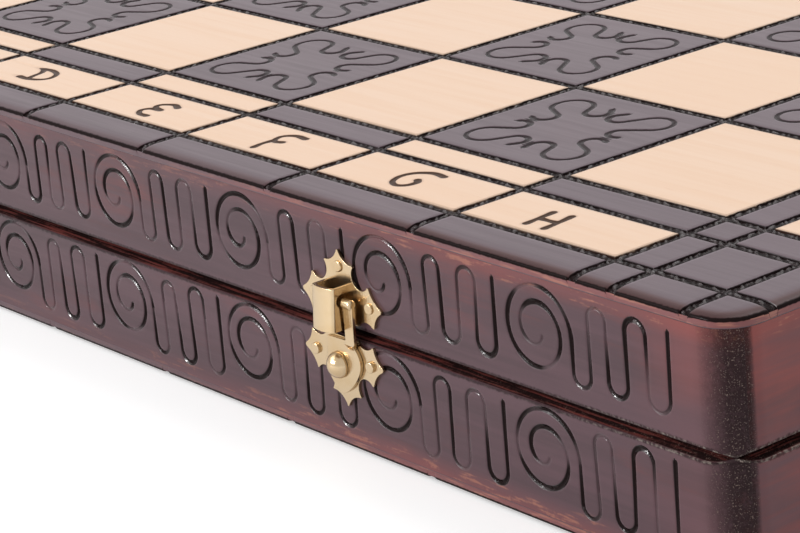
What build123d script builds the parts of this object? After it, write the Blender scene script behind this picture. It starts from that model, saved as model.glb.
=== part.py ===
"""Folding chess box with a hinged lid, in millimetres.

Two shallow beech trays close on each other like a book. Their outer faces carry the two halves of the
board, so the box opened flat and turned over is the playing board. Two brass butt hinges join the back
rails, and two brass swing latches close the front.

The box stands closed on the board face of its base. The origin is the middle of that face, +X runs
along the latched front from left to right, +Y to the hinged back and +Z up.
"""

import os
from math import cos, radians, sin

from build123d import *

# Board: one field, and the three strips of the border, from the rim inwards
field = 55.5
files = 8
ranks = 4
outer_strip = 13.3
letter_strip = 22.3
inner_strip = 12.4
border = outer_strip + letter_strip + inner_strip

# Box
length = files * field + 2 * border
depth = ranks * field + border
half_height = 32.0
panel_thickness = 3.0
rail_thickness = 12.0
rabbet_lip = 5.5
corner_radius = 10.0
eased_width = 4.8
eased_drop = 1.2
bevel_height = 1.5
bevel_width = 2.9
felt_thickness = 1.0
felt_gap = 0.3

# Grooves that part the fields of the board
groove_width = 2.8
groove_floor = 1.4
groove_depth = 1.6

# Butt hinges, let into the rims of the back rails
hinge_spacing = 300.0
hinge_length = 38.0
hinge_leaf_width = 8.2
hinge_leaf_thickness = 1.0
hinge_setback = 0.2
knuckle_radius = 2.0
knuckle_gap = 0.2
knuckle_clearance = 0.4
pin_radius = 1.0
pin_clearance = 0.05
hinge_screw_spacing = 24.0
screw_head_radius = 2.1
screw_shank_radius = 1.0
screw_length = 9.0
screw_inset = 4.6
screw_sink = 0.05
screw_clearance = 0.08

# Swing latches, two on the front. Heights are measured from the seam
latch_offset = 138.45
plate_thickness = 0.8
keeper_rise = 8.15
staple_shift = 1.4
backplate_drop = 7.05
backplate_shift = 1.25
pivot_drop = 8.8
pivot_shift = 2.05
side_nail_reach = 10.7
top_nail_rise = 8.6
side_tip_radius = 0.7
tip_radius = 0.25
nail_head_radius = 1.45
keeper_nail_rise = 0.5
backplate_nail_rise = 0.8
nail_edge_radius = 0.25
nail_shank_radius = 0.6
nail_length = 8.0
staple_width = 8.2
staple_height = 10.9
staple_low_edge = 1.5
staple_depth = 5.8
staple_flare = 1.0
staple_bulge = 0.7
staple_wall = 0.8
tab_rise = 2.2
tab_height = 2.0
bend_radius = 0.9
notch_radius = 1.65
lever_thickness = 0.9
lever_gap = 0.1
lever_lift = 1.3
bead_radius = 1.25
bead_height = 17.7
bead_grip = 0.45
lever_release = 2.4
pivot_radius = 1.2
pivot_clearance = 0.05
dome_radius = 3.4
dome_wall = 0.5
dome_height = 3.0

# Places worked out from the dimensions above
seam = half_height
front = -depth / 2
back = depth / 2
right = length / 2
inner_front = front + rail_thickness
inner_back = back - rail_thickness
inner_right = right - rail_thickness
hinge_y = back + hinge_setback
notch_rise = bead_height - pivot_drop - keeper_rise
cheek = pivot_shift - staple_shift + staple_width / 2
lever_seat = plate_thickness + lever_gap
bead_lift = lever_seat + lever_lift + lever_thickness / 2
cut_margin = 2.0


def block(x0, x1, y0, y1, z0, z1):
    """A box between two opposite corners."""
    centre = ((x0 + x1) / 2, (y0 + y1) / 2, (z0 + z1) / 2)
    return Pos(*centre) * Box(x1 - x0, y1 - y0, z1 - z0)


def on_lid(shape):
    """The same piece on the lid: the two halves mirror each other at the seam."""
    return mirror(shape, about=Plane.XY.offset(seam))


# --- wooden pieces ---


def plan_outline():
    """The box seen from above: the front corners are rounded, the hinged ones are square."""
    sketch = Rectangle(length, depth)
    corners = sketch.vertices().group_by(Axis.Y)[0]
    return fillet(corners, corner_radius)


def rim_bevels():
    """Wedges that bevel the rim of the front and the ends, each run straight past the corners."""
    run_out = -bevel_height * (1 + cut_margin / bevel_width)
    wedge = Polygon((0, -bevel_height), (bevel_width, 0), (bevel_width, cut_margin),
                    (-cut_margin, cut_margin), (-cut_margin, run_out), align=None)
    long_run = length + 2 * cut_margin
    short_run = depth + 2 * cut_margin
    frames = [
        (Plane((-long_run / 2, front, seam), x_dir=(0, 1, 0), z_dir=(1, 0, 0)), long_run),
        (Plane((right, -short_run / 2, seam), x_dir=(-1, 0, 0), z_dir=(0, 1, 0)), short_run),
        (Plane((-right, short_run / 2, seam), x_dir=(1, 0, 0), z_dir=(0, -1, 0)), short_run),
    ]
    return [extrude(frame * wedge, amount=run) for frame, run in frames]


def finish_rail(rail):
    """Rounds the front corners of a raw rail and bevels its rim."""
    rail = rail & extrude(Pos(0, 0, panel_thickness) * plan_outline(), amount=seam - panel_thickness)
    for wedge in rim_bevels():
        rail = rail - wedge
    return rail


def long_rail(y_outer, y_inner):
    """A front or back rail: it runs the full length, and each end is rabbeted down to a lip."""
    y_lip = y_outer + rabbet_lip * (1 if y_inner > y_outer else -1)
    rail = block(-right, right, min(y_outer, y_inner), max(y_outer, y_inner), panel_thickness, seam)
    for side in (-1, 1):
        ends = sorted((side * inner_right, side * (right + cut_margin)))
        steps = sorted((y_lip, y_inner + (y_inner - y_outer)))
        rail = rail - block(*ends, *steps, panel_thickness - cut_margin, seam + cut_margin)
    return finish_rail(rail)


def end_rail(side):
    """A left or right rail: plain, and held between the lips of the long rails."""
    xs = sorted((side * inner_right, side * right))
    return finish_rail(block(*xs, front + rabbet_lip, back - rabbet_lip, panel_thickness, seam))


def groove_lines():
    """Where the grooves run: x of those from front to back, and y of those from left to right."""
    first_file = -right + border
    across = [first_file + i * field for i in range(files + 1)]
    for strip in (inner_strip, inner_strip + letter_strip):
        across += [first_file - strip, -first_file + strip]
    along = [front + border + i * field for i in range(ranks)]
    along += [front + outer_strip, front + outer_strip + letter_strip]
    return sorted(across), sorted(along)


def groove(run):
    """A groove cutter along +X, sunk from z=0 upwards into the underside of a panel."""
    slope = (groove_width - groove_floor) / 2 / groove_depth
    mouth = groove_width / 2 + slope
    profile = Polygon((-mouth, -1), (mouth, -1), (groove_floor / 2, groove_depth),
                      (-groove_floor / 2, groove_depth), align=None)
    start = Plane((-run / 2, 0, 0), x_dir=(0, 1, 0), z_dir=(1, 0, 0))
    return extrude(start * profile, amount=run)


def eased_edge():
    """What is planed off the lower rim of the front and ends: the space outside a flat quarter ellipse."""
    inset = right - corner_radius
    y_turn = front + corner_radius
    turn = corner_radius * sin(radians(45))
    rim = (Line((-right, back + cut_margin), (-right, y_turn))
           + ThreePointArc((-right, y_turn), (-inset - turn, y_turn - turn), (-inset, front))
           + Line((-inset, front), (inset, front))
           + ThreePointArc((inset, front), (inset + turn, y_turn - turn), (right, y_turn))
           + Line((right, y_turn), (right, back + cut_margin)))
    inner = eased_width
    arc = EllipticalCenterArc((inner, eased_drop), inner, eased_drop, 180, arc_size=90)
    waste = make_face(arc + Line((inner, 0), (inner, -1)) + Line((inner, -1), (-1, -1))
                      + Line((-1, -1), (-1, eased_drop)) + Line((-1, eased_drop), (0, eased_drop)))
    start = Plane((-right, back + cut_margin, 0), x_dir=(1, 0, 0), z_dir=(0, -1, 0))
    return sweep(start * waste, path=rim)


def board_panel():
    """The sheet glued over the rails, outer face at z=0: its rim is eased and its fields are parted."""
    panel = extrude(plan_outline(), amount=panel_thickness) - eased_edge()
    across, along = groove_lines()
    cutters = [Pos(0, y, 0) * groove(length + 2 * cut_margin) for y in along]
    cutters += [Pos(x, 0, 0) * Rot(0, 0, 90) * groove(depth + 2 * cut_margin) for x in across]
    for cutter in cutters:
        panel = panel - cutter
    return panel


def felt_lining():
    """The felt on the floor of a tray."""
    x = inner_right - felt_gap
    return block(-x, x, inner_front + felt_gap, inner_back - felt_gap,
                 panel_thickness, panel_thickness + felt_thickness)


# --- hinges ---


def hinge_bed(x):
    """What a hinge takes out of the base's back rail: the leaf's mortise and the hollow for the knuckles."""
    half = hinge_length / 2 + 0.1
    mortise = block(x - half, x + half, hinge_y - knuckle_radius - hinge_leaf_width - 0.1,
                    back + cut_margin, seam - hinge_leaf_thickness, seam + cut_margin)
    hollow = Pos(x, hinge_y, seam) * Rot(0, 90, 0) * Cylinder(knuckle_radius + knuckle_clearance, 2 * half)
    return mortise + hollow


def hinge_screw_places(x):
    """The x and y of the two screws of one leaf."""
    y = hinge_y - knuckle_radius - screw_inset
    return [(x - hinge_screw_spacing / 2, y), (x + hinge_screw_spacing / 2, y)]


def countersunk(x, y, grow=0.0):
    """A countersunk screw driven down from the rim, or with grow above 0 the hole that takes it."""
    top = seam if grow else seam - screw_sink
    head = Pos(x, y, top - hinge_leaf_thickness / 2) * Cone(
        screw_shank_radius + grow, screw_head_radius + grow, hinge_leaf_thickness)
    reach = screw_length + grow
    shank = Pos(x, y, top - reach / 2) * Cylinder(screw_shank_radius + grow, reach)
    return head + shank


def hinge_leaf(x, shares, bore):
    """A base leaf with the knuckles that fall in the given shares of its length.

    The blade stops short of the other leaf's knuckles. bore is the radius of the hole for the pin.
    """
    blade_back = hinge_y - knuckle_radius - knuckle_clearance
    blade_front = hinge_y - knuckle_radius - hinge_leaf_width
    leaf = block(x - hinge_length / 2, x + hinge_length / 2, blade_front, blade_back,
                 seam - hinge_leaf_thickness, seam)
    for low, high in shares:
        x0 = x - hinge_length / 2 + low * hinge_length + (knuckle_gap / 2 if low > 0 else 0)
        x1 = x - hinge_length / 2 + high * hinge_length - (knuckle_gap / 2 if high < 1 else 0)
        barrel = Pos((x0 + x1) / 2, hinge_y, seam) * Rot(0, 90, 0) * Cylinder(knuckle_radius, x1 - x0)
        leaf = leaf + block(x0, x1, blade_back, hinge_y, seam - hinge_leaf_thickness, seam) + barrel
    leaf = leaf - Pos(x, hinge_y, seam) * Rot(0, 90, 0) * Cylinder(bore, hinge_length + cut_margin)
    for sx, sy in hinge_screw_places(x):
        leaf = leaf - countersunk(sx, sy, grow=screw_clearance)
    return leaf


def hinge_pin(x):
    """The pin through all knuckles of one hinge."""
    return Pos(x, hinge_y, seam) * Rot(0, 90, 0) * Cylinder(pin_radius, hinge_length)


# --- latches ---


def on_front(x, z):
    """A plane on the front face at x, z: its x runs right, its y up and its normal out of the box."""
    return Plane((x, front, z), x_dir=(1, 0, 0), z_dir=(0, -1, 0))


def crown_outline():
    """The stamped outline of both latch plates: three lobes of three points with hollow edges between.

    Local x runs right and y up, from the middle of the line through the two side nails.
    """
    tips = [(0, 13.25), (5.8, 9.5), (10.85, 5.5), (16.4, 0), (11.95, -5.3), (5.9, -5.6)]
    hollows = [(2.2, 10.35), (7.3, 3.95), (12.6, 2.25), (13.0, -2.35), (9.0, -4.0)]
    right_side = [ThreePointArc(a, m, b) for a, m, b in zip(tips, hollows, tips[1:])]
    half = make_face(right_side + [Line(tips[-1], (0, tips[-1][1])), Line((0, tips[-1][1]), tips[0])])
    crown = half + mirror(half, about=Plane.YZ)
    crown = fillet(crown.vertices().filter_by(lambda v: abs(v.X) < 15 and v.Y > -5.5), tip_radius)
    by_side = crown.vertices().group_by(Axis.X)
    return fillet(by_side[0] + by_side[-1], side_tip_radius)


def nail_places(top_nail):
    """Local places of a plate's nails."""
    places = [(-side_nail_reach, 0), (side_nail_reach, 0)]
    return places + [(0, top_nail_rise)] if top_nail else places


def nail(frame, x, y, rise):
    """A round-headed nail through a plate. Its head stands out by rise, and its edge is rounded."""
    length_in = nail_length + plate_thickness
    shank = Pos(x, y, plate_thickness - length_in / 2) * Cylinder(nail_shank_radius, length_in)
    head = Cylinder(nail_head_radius, rise)
    head = fillet(head.edges().filter_by(GeomType.CIRCLE).group_by(Axis.Z)[-1], nail_edge_radius)
    return frame * (shank + Pos(x, y, plate_thickness + rise / 2) * head)


def keeper(frame):
    """The lid's latch plate: a crown, slotted for the two tabs of the staple."""
    plate = extrude(crown_outline(), amount=plate_thickness)
    for x, y in nail_places(top_nail=True):
        plate = plate - Pos(x, y, 0) * Cylinder(nail_shank_radius + 0.05, 4 * plate_thickness)
    return frame * (plate - Pos(-staple_shift, 0, 0) * staple_tabs(grow=0.05))


def staple_tabs(grow=0.0):
    """The tabs on the staple's feet, clinched in the plate, or with grow above 0 the slots that take them."""
    outer = staple_width / 2 + grow
    inner = staple_width / 2 - staple_wall - grow
    low = staple_low_edge - keeper_rise + tab_rise - grow
    high = low + tab_height + 2 * grow
    right_tab = block(inner, outer, low, high, -grow, plate_thickness)
    left_tab = block(-outer, -inner, low, high, -grow, plate_thickness)
    return right_tab + left_tab


def bridge_section(depth, inset, foot):
    """The staple seen from below: a flat arch depth high, set in by inset, on feet that start at foot."""
    half = staple_width / 2 - inset
    top = depth - inset
    shoulder = top - staple_bulge
    arch = (Line((-half, foot), (half, foot)) + Line((half, foot), (half, shoulder))
            + ThreePointArc((half, shoulder), (0, top), (-half, shoulder))
            + Line((-half, shoulder), (-half, foot)))
    face = make_face(arch)
    return fillet(face.vertices().group_by(Axis.Y)[-1], bend_radius - inset / 2)


def bridge_block(inset, foot):
    """The staple's solid between its lower and upper end: the lower end stands further out."""
    low = staple_low_edge - keeper_rise
    ends = [(low, staple_depth + staple_flare), (low + staple_height, staple_depth)]
    sections = [Plane((0, y, 0), x_dir=(1, 0, 0), z_dir=(0, -1, 0)) * bridge_section(depth, inset, foot)
                for y, depth in ends]
    return loft(sections, ruled=True)


def staple(frame):
    """A strip bent to a bridge on the lid's plate; its right cheek is notched for the lever's bead."""
    outer = staple_width / 2
    bridge = bridge_block(0, plate_thickness) - bridge_block(staple_wall, -1)
    notch = block(outer - staple_wall - 0.5, outer + 0.5, notch_rise - notch_radius,
                  notch_rise + notch_radius, 0, bead_lift)
    notch = notch + Pos(outer, notch_rise, bead_lift) * Rot(0, 90, 0) * Cylinder(notch_radius, 3)
    return frame * Pos(-staple_shift, 0, 0) * (bridge - notch + staple_tabs())


def backplate(frame):
    """The base's latch plate: the same crown upside down, with the pivot's hole a little below the middle."""
    plate = extrude(Rot(0, 0, 180) * crown_outline(), amount=plate_thickness)
    for x, y in nail_places(top_nail=False):
        plate = plate - Pos(x, y, 0) * Cylinder(nail_shank_radius + 0.05, 4 * plate_thickness)
    pivot_hole = Cylinder(pivot_radius + pivot_clearance, 4 * plate_thickness)
    pivot_place = Pos(backplate_shift - pivot_shift, backplate_drop - pivot_drop, 0)
    return frame * (plate - pivot_place * pivot_hole)


def lever(frame):
    """The swing lever: a round shield on the pivot, an arm joggled outwards, and its end rolled to a bead.

    It is drawn latched, with the bead in the keeper's notch, and then turned back until the bead is just out.
    """
    shield = (Line((-4.1, 6.6), (-4.8, -1.5)) + ThreePointArc((-4.8, -1.5), (-3.3, -4.5), (0.6, -7.7))
              + ThreePointArc((0.6, -7.7), (5.5, -3.9), (8.1, 0.2))
              + ThreePointArc((8.1, 0.2), (8.3, 2.6), (7.2, 4.9))
              + Polyline((7.2, 4.9), (6.4, 5.8), (6.2, 5.9), (4.6, 7.3), (-4.1, 6.6)))
    plate = Pos(0, 0, lever_seat) * extrude(make_face(shield), amount=lever_thickness)
    arm_left = cheek + 0.15
    arm_right = arm_left + 3.3
    arm_outline = Polyline((4.4, 5.2), (4.4, 7.2), (arm_left, 8.2), (arm_left, bead_height),
                           (arm_right, bead_height), (arm_right, 7.6), (6.4, 5.8), (6.4, 5.2), (4.4, 5.2))
    arm = extrude(make_face(arm_outline), amount=10)
    back_side = Polyline((5.0, lever_seat), (5.6, lever_seat), (7.3, lever_seat + lever_lift),
                         (bead_height + 1, lever_seat + lever_lift))
    front_side = Polyline((5.0, lever_seat), (5.3, lever_seat), (7.0, lever_seat + lever_lift),
                          (bead_height + 1, lever_seat + lever_lift))
    front_side = Pos(0, lever_thickness, 0) * front_side
    side = make_face(back_side + Line(back_side @ 1, front_side @ 1) + front_side
                     + Line(front_side @ 0, back_side @ 0))
    strip = extrude(Plane((0, 0, 0), x_dir=(0, 1, 0), z_dir=(1, 0, 0)) * side, amount=12)
    bead_left = cheek - bead_grip
    bead = Cylinder(bead_radius, arm_right - bead_left)
    bead = fillet(bead.edges().filter_by(GeomType.CIRCLE), 0.8)
    bead = Pos((arm_right + bead_left) / 2, bead_height, bead_lift) * Rot(0, 90, 0) * bead
    piece = plate + (arm & strip) + bead - Cylinder(pivot_radius + pivot_clearance, 20)
    return frame * Rot(0, 0, -lever_release) * piece


def pivot(frame):
    """The rivet that holds the lever and the plate on the rail: its head is a dome on a short wall."""
    seat = lever_seat + lever_thickness + lever_gap
    shoulder = seat + dome_wall
    crown = seat + dome_height
    outline = (Line((0, -nail_length), (pivot_radius, -nail_length))
               + Line((pivot_radius, -nail_length), (pivot_radius, seat))
               + Line((pivot_radius, seat), (dome_radius, seat))
               + Line((dome_radius, seat), (dome_radius, shoulder))
               + TangentArc((0, crown), (dome_radius, shoulder), tangent=(1, 0))
               + Line((0, crown), (0, -nail_length)))
    return frame * revolve(Plane.XZ * make_face(outline), Axis.Z)


def pilot_holes(frame, places, radius):
    """Holes in a front rail, sunk from the front face."""
    reach = nail_length + 0.2
    return [frame * Pos(x, y, -reach / 2) * Cylinder(radius, reach + 0.2) for x, y in places]


# --- assembly ---


def build():
    """Every node of the box by name."""
    nodes = {}
    hinge_xs = {"left": -hinge_spacing / 2, "right": hinge_spacing / 2}
    latch_xs = {"left": -latch_offset, "right": latch_offset}

    front_rail = long_rail(front, inner_front)
    back_rail = long_rail(back, inner_back)
    for x in hinge_xs.values():
        back_rail = back_rail - hinge_bed(x)
        for sx, sy in hinge_screw_places(x):
            back_rail = back_rail - countersunk(sx, sy, grow=screw_clearance)
    base_front, lid_front = front_rail, on_lid(front_rail)

    for side, x in latch_xs.items():
        low_frame = on_front(x - backplate_shift, seam - backplate_drop)
        pivot_frame = on_front(x - pivot_shift, seam - pivot_drop)
        high_frame = on_front(x, seam + keeper_rise)
        nodes[f"{side}_latch_backplate"] = backplate(low_frame)
        nodes[f"{side}_latch_lever"] = lever(pivot_frame)
        nodes[f"{side}_latch_pivot"] = pivot(pivot_frame)
        nodes[f"{side}_latch_keeper"] = keeper(high_frame)
        nodes[f"{side}_latch_staple"] = staple(high_frame)
        nodes[f"{side}_backplate_nails"] = Compound(
            children=[nail(low_frame, *place, backplate_nail_rise) for place in nail_places(top_nail=False)])
        nodes[f"{side}_keeper_nails"] = Compound(
            children=[nail(high_frame, *place, keeper_nail_rise) for place in nail_places(top_nail=True)])
        for hole in pilot_holes(low_frame, nail_places(top_nail=False), nail_shank_radius + 0.05):
            base_front = base_front - hole
        for hole in pilot_holes(pivot_frame, [(0, 0)], pivot_radius + 0.05):
            base_front = base_front - hole
        for hole in pilot_holes(high_frame, nail_places(top_nail=True), nail_shank_radius + 0.05):
            lid_front = lid_front - hole

    nodes["base_front_rail"] = base_front
    nodes["lid_front_rail"] = lid_front
    nodes["base_back_rail"] = back_rail
    nodes["lid_back_rail"] = on_lid(back_rail)
    for side, sign in (("left", -1), ("right", 1)):
        nodes[f"base_{side}_rail"] = end_rail(sign)
        nodes[f"lid_{side}_rail"] = on_lid(nodes[f"base_{side}_rail"])
    nodes["base_board_panel"] = board_panel()
    nodes["lid_board_panel"] = on_lid(nodes["base_board_panel"])
    nodes["base_felt_lining"] = felt_lining()
    nodes["lid_felt_lining"] = on_lid(nodes["base_felt_lining"])

    for side, x in hinge_xs.items():
        middle = [(0.34, 0.66)]
        ends = [(0.0, 0.34), (0.66, 1.0)]
        nodes[f"{side}_hinge_base_leaf"] = hinge_leaf(x, middle, pin_radius + pin_clearance / 2)
        nodes[f"{side}_hinge_lid_leaf"] = on_lid(hinge_leaf(x, ends, pin_radius + pin_clearance))
        nodes[f"{side}_hinge_pin"] = hinge_pin(x)
        screws = [countersunk(sx, sy) for sx, sy in hinge_screw_places(x)]
        nodes[f"{side}_hinge_base_screws"] = Compound(children=screws)
        nodes[f"{side}_hinge_lid_screws"] = Compound(children=[on_lid(screw) for screw in screws])
    return nodes


os.makedirs("parts", exist_ok=True)
for name, shape in build().items():
    export_step(shape, f"parts/{name}.step")
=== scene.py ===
import math

import bpy
import numpy as np
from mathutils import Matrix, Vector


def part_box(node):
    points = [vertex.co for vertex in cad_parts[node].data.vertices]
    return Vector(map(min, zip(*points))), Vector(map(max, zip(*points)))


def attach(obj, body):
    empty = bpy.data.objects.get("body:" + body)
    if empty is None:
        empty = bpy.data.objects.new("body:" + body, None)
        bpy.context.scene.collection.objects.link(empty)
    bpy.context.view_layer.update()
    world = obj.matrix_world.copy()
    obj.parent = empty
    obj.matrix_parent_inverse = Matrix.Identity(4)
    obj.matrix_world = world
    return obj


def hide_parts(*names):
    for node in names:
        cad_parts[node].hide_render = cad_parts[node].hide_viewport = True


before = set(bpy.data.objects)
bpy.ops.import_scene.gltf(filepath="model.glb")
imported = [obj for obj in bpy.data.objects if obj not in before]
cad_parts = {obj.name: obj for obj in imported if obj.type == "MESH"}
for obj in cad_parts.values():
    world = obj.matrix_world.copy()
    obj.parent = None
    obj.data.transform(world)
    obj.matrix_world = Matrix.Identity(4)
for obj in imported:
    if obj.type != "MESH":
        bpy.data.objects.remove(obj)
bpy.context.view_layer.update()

bl_info = {
    "name": "Folding chess box",
    "version": (1, 0, 0),
    "blender": (4, 5, 0),
    "location": "View3D > Sidebar > Chess box",
    "description": "Carved rails, burned board fields and brass fittings for the folding chess box",
    "category": "Object",
}

# --- places of the box, in millimetres, with the lid on top ---

panel_low, panel_high = (np.array(corner) * 1000 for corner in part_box("lid_board_panel"))
right, back, board_top = panel_high
front = panel_low[1]
panel_under = panel_low[2]
seam = board_top / 2
inner_right = 258.0
inner_front = -123.0
lip = -129.5
corner_radius = 10.0
field_pitch = 55.5
file_lines = np.concatenate([[-256.7, -234.4], np.arange(-4, 5) * field_pitch, [234.4, 256.7]])
rank_lines = np.array([-121.7, -99.4, -87.0, -31.5, 24.0, 79.5])
halves = ("lid", "base")
# The bevel at the rails' rim: its height and its width
bevel_height, bevel_width = 1.5, 2.9
# The groove between two fields: half its width near the top of its walls, and how far its floor lies under the board
groove_half_width, groove_depth = 1.3, 1.65
# The rope in it: half its width, and how far its sides lie under the board
rope_half_width, rope_depth = 1.36, 0.97
# Half the side of the finely divided square round an ornament and round a letter, and how deep the letters are
ornament_reach, letter_reach, letter_depth = 22.5, 8.4, 0.25
# How deep a field goes at most, and the distance that stands for no groove nearby
field_depth, no_groove = 2.9, 20.0


def settings():
    """The sizes and colours that the panel shows."""
    return bpy.context.scene.chess_box


# --- surfaces ---


class Surface:
    """Grids of points gathered into one closed mesh, in millimetres, as they stand on the lid."""

    def __init__(self):
        self.points, self.faces, self.slots, self.marks, self.count = [], [], [], {}, 0

    def grid(self, x, y, z, slot=0, flip=False, **marks):
        """Faces between neighbouring rows and columns of points. They look along row x column."""
        x, y, z = np.broadcast_arrays(x, y, z)
        rows, columns = x.shape
        at = self.count + np.arange(rows * columns).reshape(rows, columns)
        quads = np.stack([at[:-1, :-1], at[1:, :-1], at[1:, 1:], at[:-1, 1:]], -1).reshape(-1, 4)
        self.points.append(np.stack([x, y, z], -1).reshape(-1, 3))
        self.faces.append(quads[:, ::-1] if flip else quads)
        self.slots.append(np.full(len(quads), slot))
        for name in set(self.marks) | set(marks):
            kept = self.marks.setdefault(name, [np.zeros(self.count)])
            kept.append(np.broadcast_to(marks.get(name, 0.0), x.shape).ravel())
        self.count += rows * columns

    def cap(self, x, y, z, flip=False):
        """A closed row of points joined to its middle."""
        loop = np.stack([x, y, z], -1)
        ring = np.stack([loop, np.broadcast_to(loop[:-1].mean(0), loop.shape)])
        self.grid(ring[..., 0], ring[..., 1], ring[..., 2], flip=flip)

    def skirt(self, x, y, low, high, **marks):
        """The wall round the border of a grid, from its low to its high surface."""
        x, y, low, high = (border_of(a) for a in (x, y, low, high))
        self.grid(np.stack([x, x]), np.stack([y, y]), np.stack([low, high]), flip=True, **marks)

    def turn_over(self):
        """Lets every face look the other way."""
        self.faces = [faces[:, ::-1] for faces in self.faces]

    def make(self, name, body, slot_name, *finishes, replaces=(), sharp=40):
        """Joins the grids where they meet and puts the mesh on its body. The base is the lid mirrored at the seam.

        Points that agree to 0.0005 mm are one. A quad that loses a corner by this becomes a triangle, and one that
        loses more is left out.
        """
        points = np.concatenate(self.points)
        faces = np.concatenate(self.faces)
        slots = np.concatenate(self.slots)
        keys = np.round(points * 2000).astype(np.int64)
        _, first, joined = np.unique(keys, axis=0, return_index=True, return_inverse=True)
        points, faces = points[first], joined.reshape(-1)[faces]
        if body == "base":
            points[:, 2] = board_top - points[:, 2]
            faces = faces[:, ::-1]
        same = faces == np.roll(faces, -1, axis=1)
        whole = ~same.any(1)
        bent = same.sum(1) == 1
        triangles = faces[bent][~same[bent]].reshape(-1, 3)
        apart = (triangles != np.roll(triangles, -1, axis=1)).all(1)
        mesh = bpy.data.meshes.new(name)
        mesh.from_pydata(points / 1000, [], faces[whole].tolist() + triangles[apart].tolist())
        slots = np.concatenate([slots[whole], slots[bent][apart]])
        mesh.polygons.foreach_set("material_index", slots.astype(np.int32))
        for mark, kept in self.marks.items():
            layer = mesh.attributes.new(mark, "FLOAT", "POINT")
            layer.data.foreach_set("value", np.concatenate(kept)[first].astype(np.float32))
        mesh.shade_smooth()
        mesh.set_sharp_from_angle(angle=math.radians(sharp))
        for finish in finishes:
            mesh.materials.append(material(finish))
        mesh.update()
        piece = bpy.data.objects.new(name, mesh)
        bpy.context.scene.collection.objects.link(piece)
        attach(piece, body)
        if replaces:
            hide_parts(*replaces)
        return piece


def border_of(grid):
    """The values round the border of a grid, ending where they start."""
    return np.concatenate([grid[:, 0], grid[-1, 1:], grid[-2::-1, -1], grid[0, -2::-1]])


def belt(circles, heading_in, heading_out, lead_in=0.0, lead_out=0.0, step=0.15):
    """A line that runs round circles (x, y, radius, turn), with straight runs that touch both neighbours.

    turn is 1 for anticlockwise and -1 for clockwise. A run between two circles lies at the angle of the line of
    centres less asin((turn2 r2 - turn1 r1) / distance). The headings at both ends are in degrees, and the lead in and
    lead out are straight runs there.
    """
    centres = np.array([c[:2] for c in circles], float)
    radii = np.array([c[2] * c[3] for c in circles], float)
    gaps = np.diff(centres, axis=0)
    between = np.arctan2(gaps[:, 1], gaps[:, 0]) - np.arcsin(np.diff(radii) / np.hypot(*gaps.T))
    headings = np.concatenate([[math.radians(heading_in)], between, [math.radians(heading_out)]])
    runs = []
    for centre, radius, start, end in zip(centres, radii, headings, headings[1:]):
        turned = (end - start) * np.sign(radius) % (2 * math.pi) * np.sign(radius)
        angle = start + np.linspace(0, turned, max(4, int(abs(turned * radius) / step) + 2))
        runs.append(centre + radius * np.stack([np.sin(angle), -np.cos(angle)], -1))
    ways = np.stack([np.cos(headings[[0, -1]]), np.sin(headings[[0, -1]])], -1)
    return np.concatenate([runs[0][:1] - lead_in * ways[0], *runs, runs[-1][-1:] + lead_out * ways[1]])


def drawn(points, count=10):
    """A smooth line through a few points: between two of them, the cubic whose ends run as their neighbours do."""
    p = np.array(points, float)
    p = np.concatenate([[2 * p[0] - p[1]], p, [2 * p[-1] - p[-2]]])
    t = np.linspace(0, 1, count, endpoint=False)[None, :, None]
    a, b, c, d = (p[i:len(p) - 3 + i, None] for i in range(4))
    line = b + t * (c - a) / 2 + t**2 * (2 * a - 5 * b + 4 * c - d) / 2 + t**3 * (3 * b - a - 3 * c + d) / 2
    return np.concatenate([line.reshape(-1, 2), p[-2:-1]])


# The distance, in half widths and in millimetres, from which a place no longer belongs to a stroke
far_off = 4.0


def reach(x, y, strokes):
    """How far each place is from the nearest stroke, in half widths of the stroke there.

    A stroke is (points, half widths). For each of its runs the nearest point lies at t = along / length, held between
    0 and 1, and the half width there is taken in proportion. Returns the distance, the half width, the distance again
    with a minus sign on the right of the stroke, and the heading towards the stroke.
    """
    nearest, side = np.full(x.shape, far_off), np.full(x.shape, far_off)
    width, heading = np.zeros(x.shape), np.zeros(x.shape)
    for line, half_width in strokes:
        half_width = np.broadcast_to(half_width, len(line))
        low, high = line.min(0) - far_off, line.max(0) + far_off
        near = (x > low[0]) & (x < high[0]) & (y > low[1]) & (y < high[1])
        px, py = x[near][:, None] - line[:-1, 0], y[near][:, None] - line[:-1, 1]
        run = np.diff(line, axis=0)
        t = np.clip((px * run[:, 0] + py * run[:, 1]) / np.maximum((run**2).sum(1), 1e-12), 0, 1)
        widths = half_width[:-1] + t * np.diff(half_width)
        way_x, way_y = t * run[:, 0] - px, t * run[:, 1] - py
        share = np.hypot(way_x, way_y) / widths
        left = np.sign(run[:, 0] * py - run[:, 1] * px)
        best = share.argmin(1)[:, None]
        share, widths, left, way_x, way_y = (
            np.take_along_axis(a, best, 1)[:, 0] for a in (share, widths, left, way_x, way_y))
        closer = share < nearest[near]
        found = ((width, widths), (side, share * left), (heading, np.arctan2(way_y, way_x)), (nearest, share))
        for kept, value in found:
            kept[near] = np.where(closer, value, kept[near])
    return nearest, width, side, heading


def hollow(share):
    """The section of a gouged line: two straight walls, 1 - share, with a round bottom."""
    return np.clip(1.06 - np.sqrt(share**2 + 0.04), 0, None)


# --- board ---


def eased(x, y):
    """How far the face drops at the rim: a flat quarter ellipse along the front, the ends and the corners."""
    cx, cy = right - corner_radius, front + corner_radius
    off = np.hypot(np.maximum(np.abs(x) - cx, 0), np.maximum(cy - y, 0))
    inside = np.maximum(corner_radius - off, 0)
    width, drop = settings().eased_width * 1000, settings().eased_drop * 1000
    left = np.clip(1 - inside / width, 0, 1)
    return drop * (1 - np.sqrt(1 - left**2))


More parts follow.
